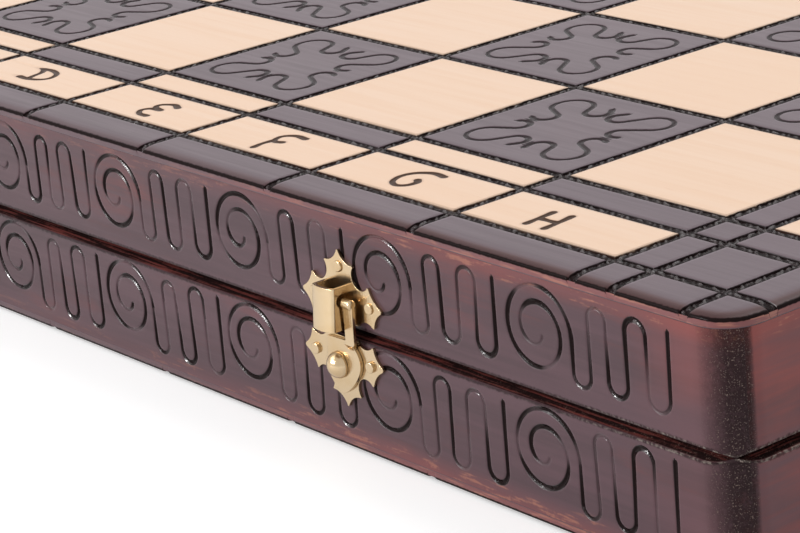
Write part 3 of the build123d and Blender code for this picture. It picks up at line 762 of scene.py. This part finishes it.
class CHESSBOX_OT_board(bpy.types.Operator):
    """Build the board's sheets: raised light and dark fields, border strips and lettered strips"""
    bl_idname = "chess_box.board"
    bl_label = "Board fields"

    def execute(self, context):
        for number, half in enumerate(halves):
            rng = np.random.default_rng(40 + number)
            surfaces = {kind: Surface() for kind in ("light", "dark", "border", "lettered")}
            for a, x_span in enumerate(spans(file_lines, -right, right)):
                for b, y_span in enumerate(spans(rank_lines, front, back)):
                    self.field(surfaces, half, a, b, x_span, y_span, rng)
            surfaces["light"].make(f"{half}_light_fields", half, "board_wood", "light_wood")
            surfaces["dark"].make(f"{half}_dark_fields", half, "board_wood", "ornament_wood")
            surfaces["border"].make(f"{half}_border_strips", half, "board_wood", "dark_wood")
            surfaces["lettered"].make(f"{half}_lettered_strips", half, "board_wood", "lettered_wood")
            self.ground(half)
        return {"FINISHED"}

    def field(self, surfaces, half, a, b, x_span, y_span, rng):
        """The field in column a and row b, counted with the three strips that border the board on each side."""
        look = settings()
        file, rank = a - 3, b - 3
        on_file, on_rank = 0 <= file < 8, rank >= 0
        x_kinds = ("rim" if a == 0 else "groove", "rim" if a == 13 else "groove")
        y_kinds = ("rim" if b == 0 else "groove", "hinge" if b == 6 else "groove")
        x_mid, y_mid = sum(x_span) / 2, sum(y_span) / 2
        place = (x_span, y_span, x_kinds, y_kinds)
        if on_file and on_rank and not is_light(half, file, rank):
            fine = np.linspace(-ornament_reach, ornament_reach, 67)
            strokes = [(line * field_pitch + [x_mid, y_mid], width * look.ornament_half_width * 1000)
                       for line, width in motif(rng)]
            add_field(surfaces["dark"], *place, x_mid + fine, y_mid + fine, strokes, look.ornament_depth * 1000)
            return
        if (on_file and b == 1) or (on_rank and a in (1, 12)):
            if on_file:
                sign = "ABCDEFGH"[file]
            else:
                sign = str(rank + 1 if half == "lid" else 8 - rank)
            strokes = lettering(sign, x_mid, y_mid, half, rng)
            fine = np.linspace(-letter_reach, letter_reach, 40)
            # The H on the lid stands left of its field's middle
            shift = -3.5 if sign == "H" and half == "lid" else 0.0
            x_fine = x_mid + shift + fine * 0.98
            add_field(surfaces["lettered"], *place, x_fine, y_mid + fine[3:-3], strokes, letter_depth)
            return
        # The strips next to the fields are light beside the dark ones
        beside = on_file and b == 2 or on_rank and a in (2, 11)
        light_beside = is_light(half, min(max(file, 0), 7), max(rank, 0))
        kind = "light" if on_file and on_rank or beside and not light_beside else "border"
        add_field(surfaces[kind], *place, even(*x_span, 12), even(*y_span, 12))

    def ground(self, half):
        """The sheet under the fields. Its face, the grooves' floor, falls with the eased rim and has a curb there."""
        rim = np.array([0.03, 0.35, 0.6, 1.4, 2.4, 3.5, 4.8, 7.0, 10.0])
        xs = np.concatenate([-right + rim, np.linspace(-222, 222, 9), right - rim[::-1]])
        ys = np.concatenate([front + rim, [-60, 0, 60, back]])
        x, y = round_corners(*np.meshgrid(xs, ys, indexing="ij"))
        curb = 1.2 * np.clip(eased(x, y) / 0.32 - 2.2, 0, 1)
        top = board_top - 1.6 - 0.9 * eased(x, y) + curb
        under = np.full_like(top, panel_under)
        surface = Surface()
        surface.grid(x, y, top, rim=eased(x, y), wall=curb, edge=5 * curb)
        surface.grid(x, y, under, slot=1, flip=True)
        surface.skirt(x, y, under, top, wall=1.2, edge=6)
        surface.make(f"{half}_board_sheet", half, "board_wood", "dark_wood", "plain_wood",
                     replaces=[f"{half}_board_panel"])


class CHESSBOX_OT_rope_grooves(bpy.types.Operator):
    """Lay the stamped and burned rope pattern into the grooves between the fields"""
    bl_idname = "chess_box.rope_grooves"
    bl_label = "Rope grooves"

    def execute(self, context):
        for number, half in enumerate(halves):
            rng = np.random.default_rng(80 + number)
            files, ranks = Surface(), Surface()
            for x in file_lines:
                self.rope(files, x, front + 0.15, back - 0.05, True, rng)
            for y in rank_lines:
                self.rope(ranks, y, -right + 0.15, right - 0.15, False, rng)
            files.make(f"{half}_file_ropes", half, "board_wood", "rope_burn", sharp=80)
            ranks.make(f"{half}_rank_ropes", half, "board_wood", "rope_burn", sharp=80)
        return {"FINISHED"}

    def rope(self, surface, place, low, high, lengthwise, rng):
        """A half-sunk twisted rope, closed underneath.

        Across it, for t from -1 to 1, it is the flat arch (1 - (0.96 t)^4)^0.5. Its strands |cos(pi s / pitch + 1.9 t)|
        wander and vary in strength along it, and its ends are rounded off over the last 0.9 mm.
        """
        pitch = settings().rope_pitch * 1000
        s = np.linspace(low, high, int((high - low) / pitch * 6) + 1)[:, None]
        t = np.array([-1, -0.75, -0.38, 0, 0.38, 0.75, 1])[None, :]
        arch = np.sqrt(np.maximum(1 - (t * 0.96) ** 4, 0))
        wander = 0.5 * np.sin(s * 0.83 + rng.uniform(0, 6)) + 0.35 * np.sin(s * 2.1 + rng.uniform(0, 6) + t)
        ridge = np.abs(np.cos(math.pi * (s + wander) / pitch + 1.9 * t))
        strength = np.sin(s * 1.37 + 2 * t + rng.uniform(0, 6)) * np.sin(s * 0.31 + rng.uniform(0, 6))
        ridge = ridge * (0.72 + 0.28 * strength)
        rounding = np.sqrt(1 - np.clip(1 - np.minimum(s - low, high - s) / 0.9, 0, 1) ** 2)
        height = (0.48 + 0.42 * ridge) * rounding
        across = place + rope_half_width * t * (0.96 + 0.04 * ridge)
        x, y = (across, s) if lengthwise else (s, across)
        x, y = np.broadcast_arrays(x, y)
        fall = eased(x, y)
        z = board_top - rope_depth + arch * height - fall
        bottom = np.minimum(board_top - groove_depth - 0.95 * fall[:, :1], z[:, :1] - 0.1)
        ring = [np.concatenate([floor, a, floor_end, floor], 1) for floor, a, floor_end in (
            (x[:, :1], x, x[:, -1:]), (y[:, :1], y, y[:, -1:]), (bottom, z, bottom))]
        none = np.zeros_like(bottom)
        surface.grid(*ring, flip=lengthwise, ridge=np.concatenate([none, ridge, none, none], 1))
        surface.cap(*(a[0] for a in ring), flip=not lengthwise)
        surface.cap(*(a[-1] for a in ring), flip=lengthwise)


def unit_strokes(x0, z0, top, bottom, rng, faint):
    """One unit of the carving: a spiral that runs on as a meander of three and a half turns.

    The spiral's radius is 2.3 + 8.6 (1 - (1 - t)^1.6) mm as it turns clockwise through 690 degrees, and its inner
    turns lean 0.8 mm to the left. The meander runs round circles between its legs.
    """
    half_width = settings().carving_half_width * 1000
    t = np.linspace(0, 1, 90)
    angle = np.radians(-30 + rng.normal(0, 7) * (1 - t) - 690 * t)
    radius = 2.3 + rng.normal(0, 0.25) * (1 - t) + 8.6 * (1 - (1 - t) ** 1.6)
    spiral = np.stack([radius * np.cos(angle) - 0.8 * (1 - t**3), radius * np.sin(angle)], -1)
    legs = np.array([10.9, 16.6, 22.3, 28.4, 34.8, 41.4])
    mids, radii = (legs[:-1] + legs[1:]) / 2, np.diff(legs) / 2
    shake = rng.normal(0, 0.22, (5, 2))
    circles = []
    for i, (mid, radius) in enumerate(zip(mids, radii)):
        level = bottom + radius if i % 2 == 0 else top - radius
        circles.append((mid + shake[i, 0] * (i > 0), level + shake[i, 1], radius, 1 if i % 2 == 0 else -1))
    meander = belt(circles, -90, 92)
    meander = np.concatenate([[[10.9, -0.4]], meander, [[41.6 + shake[4, 0], top - 0.6 + shake[3, 1]]]])
    length = np.concatenate([[0], np.cumsum(np.hypot(*np.diff(meander, axis=0).T))])
    meander_width = pressed(length, rng) + 0.2 * np.clip((length - length[-1] + 16) / 10, 0, 1)
    meander_width -= faint * (1 - np.cos((meander[:, 1] - bottom) / (top - bottom) * 6.2))
    spiral_width = pressed(190 * t**1.3, rng) - 0.12 + 0.24 * np.sin(t * 2.6)
    return [(line + [x0, z0], half_width * np.clip(width, 0.5, 1.1))
            for line, width in ((spiral, spiral_width), (meander, meander_width))]


def pressed(length, rng):
    """How hard the gouge was pressed along a line: 0.82 + 0.2 sin(s / 11) + 0.16 sin(s / 4.6) with random phases."""
    first, second = rng.uniform(0, 6.3, 2)
    return 0.82 + 0.2 * np.sin(length / 11 + first) + 0.16 * np.sin(length / 4.6 + second)


# From one unit of the carving to the next
unit_pitch = 55.9
# The lowest face row above the bevel, and a row on the inner face
bevel_foot, inner_row = 33.6, 46.0
# What is left of the front rail at its very ends, behind the rounded corners
least_thickness = 0.03
# Middle of the spirals, and how far the meander reaches above and below it
carving_levels = {"lid": (48.5, 9.7, -10.2), "base": (18.9, 9.2, -12.2)}


def carving(half, starts, rng):
    """The strokes of a rail, one unit from each start. On the base the meander is fainter half way up its legs."""
    strokes = []
    for start in starts:
        strokes += unit_strokes(start, *carving_levels[half], rng, 0.18 if half == "base" else 0.0)
    return strokes


def face_heights(half):
    """Heights of the grid lines on a rail's outer face, on the lid: close together where it is carved."""
    middle, top, bottom = carving_levels[half]
    low, high = middle + bottom - 1.6, middle + 11.9
    if half == "base":
        low, high = board_top - high, board_top - low
    return low, high, np.linspace(low, high, 60)


def bevel_drop(offset):
    """How far the bevel stands off the rim's flat, at an offset inwards from the outer face."""
    return bevel_height * (1 - np.clip(offset / bevel_width, 0, 1))


def widened(marks, columns, value):
    """Marks with further columns of one value, for the parts of a rail that aren't carved."""
    return np.concatenate([marks, np.full((len(marks), columns - marks.shape[1]), value)], 1)


def carved_rail(half, stations, outer, inner, rim_limit, corner, strokes, lamp_heading, place):
    """A rail as a closed section carried along its stations, with a cap at each end.

    The section climbs the outer face from the board side to the rim, crosses the rim's bevel and flat, and goes down
    the inner face and back. outer and inner are the distances of its faces at each station, rim_limit is the height
    that the end's bevel leaves, and place turns (station, distance, height) into x, y and z. The strokes are sunk
    along the outward normal, with the section that hollow gives. The mark "lit" is the cosine of the angle between the
    heading towards the middle of the line and lamp_heading, in degrees, where a groove's wall mirrors the low lamps.
    """
    low, high, fine = face_heights(half)
    rim_out = np.maximum(seam + bevel_drop(-outer), rim_limit)
    heights = np.concatenate([[panel_under, (panel_under + high) / 2], fine[::-1], [(low + bevel_foot) / 2]])
    s = stations[:, None]
    face_z = np.maximum(heights[None, :], rim_out[:, None] + 0.02)
    real_z = face_z if half == "lid" else board_top - face_z
    cut, width, side, heading = reach(np.broadcast_to(s, face_z.shape), real_z, strokes)
    lit = np.cos(heading - math.radians(lamp_heading))
    press = width / (settings().carving_half_width * 1000)
    depth = hollow(cut) * settings().carving_depth * 1000 * press * (np.abs(high - face_z) > 1e-6)
    bevel_end = np.maximum(np.minimum(-bevel_width, outer), inner)
    across_bevel = outer[:, None] + (bevel_end - outer)[:, None] * np.array([0.0, 0.4, 0.8])
    top_r = np.column_stack([across_bevel, bevel_end, (bevel_end + inner) / 2, inner])
    top_z = np.maximum(seam + bevel_drop(-top_r), rim_limit[:, None])
    ones = np.ones(len(stations))
    ring_r = np.column_stack([outer[:, None] - depth, top_r, inner, inner, outer])
    ring_z = np.column_stack([face_z, top_z, ones * inner_row, ones * panel_under, ones * panel_under])
    # From the rim upwards on the outer face, from it inwards with a minus sign on the bevel, and set values elsewhere
    edge = np.column_stack([face_z - rim_out[:, None], np.maximum(top_r - outer[:, None], -5),
                            ones * -9.0, ones * -9.0, ones * 27.5])
    x, y, z = place(np.broadcast_to(s, ring_r.shape), ring_r, ring_z)
    columns = ring_r.shape[1]
    surface = Surface()
    surface.grid(x, y, z, cut=widened(cut, columns, far_off), side=widened(side, columns, far_off),
                 press=widened(press, columns, 0.0), lit=widened(lit, columns, 0.0), edge=edge, corner=corner[:, None])
    surface.cap(x[0], y[0], z[0], flip=True)
    surface.cap(x[-1], y[-1], z[-1])
    return surface


class CHESSBOX_OT_front_rails(bpy.types.Operator):
    """Carve the front rails with the spiral and meander line and round their corners"""
    bl_idname = "chess_box.front_rails"
    bl_label = "Front rails"

    def execute(self, context):
        turn = np.linspace(0, math.acos(0.45), 12)
        rounded = right - corner_radius + corner_radius * np.sin(turn)
        straight = np.linspace(-252, 253.5, 1128)
        inner_step = np.array([inner_right - 0.01, inner_right + 0.01])
        stations = np.concatenate([-rounded[::-1], -inner_step[::-1], straight, inner_step, rounded])
        bulge = np.maximum(np.abs(stations) - (right - corner_radius), 0)
        fall = corner_radius - np.sqrt(corner_radius**2 - bulge**2)
        outer = -np.minimum(fall, lip - front - least_thickness)
        inner = np.where(np.abs(stations) < inner_right, -(inner_front - front), -(lip - front))
        rim_limit = seam + bevel_drop(right - np.abs(stations))
        corner = np.clip((np.abs(stations) - 259.5) / 7, 0, 1)
        for number, half in enumerate(halves):
            rng = np.random.default_rng(7 + number)
            strokes = carving(half, 209.8 - unit_pitch * np.arange(9), rng)
            surface = carved_rail(half, stations, outer, inner, rim_limit, corner, strokes, 58,
                                  lambda s, r, z: (s, front - r, z))
            surface.turn_over()
            surface.make(f"{half}_carved_front", half, "stained_wood", "front_stain",
                         replaces=[f"{half}_front_rail"])
        return {"FINISHED"}


class CHESSBOX_OT_end_rails(bpy.types.Operator):
    """Carve the left and right rails"""
    bl_idname = "chess_box.end_rails"
    bl_label = "End rails"

    def execute(self, context):
        turn = np.linspace(math.asin(0.45), 0, 8)
        rounded = front + corner_radius - corner_radius * np.sin(turn)
        stations = np.concatenate([rounded, np.linspace(-114, 114, 520), [129.5]])
        bulge = np.maximum(front + corner_radius - stations, 0)
        outer = -(corner_radius - np.sqrt(corner_radius**2 - bulge**2))
        inner = np.full(len(stations), inner_right - right)
        rim_limit = seam + bevel_drop(stations - front)
        corner = np.clip((-128.0 - stations) / 0.4, 0, 1)
        for number, (side, way) in enumerate((("left", -1), ("right", 1))):
            for half in halves:
                rng = np.random.default_rng(20 + number * 2 + (half == "base"))
                strokes = carving(half, -99 + unit_pitch * np.arange(4), rng)
                strokes = [(line * [way, 1], width) for line, width in strokes]
                surface = carved_rail(half, stations, outer, inner, rim_limit, corner, strokes, 122,
                                      lambda s, r, z: (way * (right + r), s, z))
                if way > 0:
                    surface.turn_over()
                surface.make(f"{half}_carved_{side}_end", half, "stained_wood", "end_stain",
                             replaces=[f"{half}_{side}_rail"])
        return {"FINISHED"}


class CHESSBOX_OT_felt(bpy.types.Operator):
    """Lay the felt sheets on the floors of both trays"""
    bl_idname = "chess_box.felt"
    bl_label = "Felt linings"

    def execute(self, context):
        for number, half in enumerate(halves):
            low, high = (np.array(corner) * 1000 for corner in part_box(f"{half}_felt_lining"))
            rng = np.random.default_rng(60 + number)
            rim = np.array([0, 0.25, 0.8])
            xs = np.concatenate([low[0] + rim, np.linspace(low[0] + 4, high[0] - 4, 100), high[0] - rim[::-1]])
            ys = np.concatenate([low[1] + rim, np.linspace(low[1] + 4, high[1] - 4, 48), high[1] - rim[::-1]])
            x, y = np.meshgrid(xs, ys, indexing="ij")
            waves = sum(np.sin(x * rng.normal(0, 0.05) + y * rng.normal(0, 0.05) + rng.uniform(0, 6))
                        for _ in range(9))
            inside = np.minimum.outer(np.minimum(xs - low[0], high[0] - xs),
                                      np.minimum(ys - low[1], high[1] - ys))
            thick = 0.9 - 0.03 * np.abs(waves) - 0.45 * (1 - np.clip(inside / 0.8, 0, 1)) ** 2
            floor_z = np.full_like(thick, panel_under)
            surface = Surface()
            surface.grid(x, y, floor_z)
            surface.grid(x, y, floor_z - thick, flip=True)
            surface.skirt(x, y, floor_z - thick, floor_z)
            sheet = surface.make(f"{half}_felt_sheet", half, "felt", "tray_felt", replaces=[f"{half}_felt_lining"])
        return {"FINISHED"}


class CHESSBOX_OT_fittings(bpy.types.Operator):
    """Give the hinges, the latches and the back rails their brass, steel and stain"""
    bl_idname = "chess_box.fittings"
    bl_label = "Brass fittings and back rails"

    def execute(self, context):
        for name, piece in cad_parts.items():
            if piece.hide_render:
                continue
            if "rail" in name:
                finish = "back_stain"
            elif name.endswith("hinge_pin"):
                finish = "drawn_steel"
            else:
                finish = "pale_brass"
            piece.data.materials.clear()
            piece.data.materials.append(material(finish))
        return {"FINISHED"}


class CHESSBOX_OT_stage(bpy.types.Operator):
    """Set the floor, the light and the camera"""
    bl_idname = "chess_box.stage"
    bl_label = "Stage"

    def execute(self, context):
        look = settings()
        mesh = bpy.data.meshes.new("floor")
        corners = [(x * 6, y * 6, -0.0001) for x, y in ((-1, -1), (1, -1), (1, 1), (-1, 1))]
        mesh.from_pydata(corners, [], [(0, 1, 2, 3)])
        floor = bpy.data.objects.new("floor", mesh)
        context.scene.collection.objects.link(floor)
        # The floor glows faintly only for the camera and for reflections, so that it shows white; its glow gives the
        # box no light
        f = Finish("pale_floor", base_color=(0.9, 0.9, 0.9, 1), roughness=0.8)
        seen = f.node("ShaderNodeLightPath", {}, {}, "Is Camera Ray")
        glossy = f.node("ShaderNodeLightPath", {}, {}, "Is Glossy Ray")
        f.shader.inputs["Emission Strength"].default_value = 1.0
        f.feed("Emission Color", f.mix(seen.most(glossy), (0, 0, 0), (0.3, 0.3, 0.3)))
        mesh.materials.append(f.material)

        # A white surrounding that lights the box less than it shows in it
        world = bpy.data.worlds.new("studio")
        context.scene.world = world
        world.use_nodes = True
        nodes, links = world.node_tree.nodes, world.node_tree.links
        path = nodes.new("ShaderNodeLightPath")
        direct = path.outputs["Is Camera Ray"]
        for ray in ("Is Glossy Ray", "Is Transmission Ray"):
            either = nodes.new("ShaderNodeMath")
            either.operation = "MAXIMUM"
            links.new(direct, either.inputs[0])
            links.new(path.outputs[ray], either.inputs[1])
            direct = either.outputs[0]
        strength = nodes.new("ShaderNodeMapRange")
        strength.inputs["To Min"].default_value = 0.62
        strength.inputs["To Max"].default_value = 1.0
        links.new(direct, strength.inputs["Value"])
        nodes["Background"].inputs["Color"].default_value = (1, 1, 1, 1)
        links.new(strength.outputs["Result"], nodes["Background"].inputs["Strength"])

        self.lamp("key_light", (-1.3, -1.5, 1.5), (0, -0.1, 0.03), 1.2, 14)
        self.lamp("top_light", (0.2, 0.9, 1.7), (0.1, 0, 0.05), 1.4, 12)
        # Two lamps far in front, for the lacquered walls of the gouged line to mirror. The long one only does that
        self.lamp("glint_light", (-0.685, -2.2, 0.99), (0.05, -0.2, 0.03), 0.2, 24)
        streak = self.lamp("streak_light", (-0.685, -2.2, 0.93), (0.05, -0.2, 0.03), 1.3, 32, 0.14)
        streak.visible_diffuse = False

        camera = bpy.data.objects.new("camera", bpy.data.cameras.new("camera"))
        context.scene.collection.objects.link(camera)
        camera.location = look.camera_place
        camera.rotation_euler = look.camera_turn
        camera.data.sensor_width = 36
        camera.data.lens = look.camera_lens
        camera.data.clip_start = 0.01
        context.scene.camera = camera
        context.scene.view_settings.view_transform = "Standard"
        return {"FINISHED"}

    def lamp(self, name, place, aim, size, power, height=None):
        """A square or, with a height, a rectangular lamp at a place, turned towards its aim."""
        data = bpy.data.lights.new(name, "AREA")
        data.shape, data.size, data.size_y, data.energy = "RECTANGLE", size, height or size, power
        lamp = bpy.data.objects.new(name, data)
        bpy.context.scene.collection.objects.link(lamp)
        lamp.location = place
        lamp.rotation_euler = (type(lamp.location)(aim) - lamp.location).to_track_quat("-Z", "Y").to_euler()
        return lamp


class CHESSBOX_PT_panel(bpy.types.Panel):
    """The chess box's pieces and their sizes and colours"""
    bl_idname = "CHESSBOX_PT_panel"
    bl_label = "Chess box"
    bl_space_type = "VIEW_3D"
    bl_region_type = "UI"
    bl_category = "Chess box"

    def draw(self, context):
        layout = self.layout
        for name in ChessBoxSettings.__annotations__:
            layout.prop(context.scene.chess_box, name)
        for operator in operators:
            layout.operator(operator.bl_idname)


operators = (CHESSBOX_OT_board, CHESSBOX_OT_rope_grooves, CHESSBOX_OT_front_rails, CHESSBOX_OT_end_rails,
             CHESSBOX_OT_felt, CHESSBOX_OT_fittings, CHESSBOX_OT_stage)


def register():
    for kind in (ChessBoxSettings, *operators, CHESSBOX_PT_panel):
        bpy.utils.register_class(kind)
    bpy.types.Scene.chess_box = bpy.props.PointerProperty(type=ChessBoxSettings)


def unregister():
    del bpy.types.Scene.chess_box
    for kind in (CHESSBOX_PT_panel, *reversed(operators), ChessBoxSettings):
        bpy.utils.unregister_class(kind)


def main():
    register()
    bpy.ops.chess_box.board()
    bpy.ops.chess_box.rope_grooves()
    bpy.ops.chess_box.front_rails()
    bpy.ops.chess_box.end_rails()
    bpy.ops.chess_box.felt()
    bpy.ops.chess_box.fittings()
    bpy.ops.chess_box.stage()


if __name__ == "__main__":
    main()
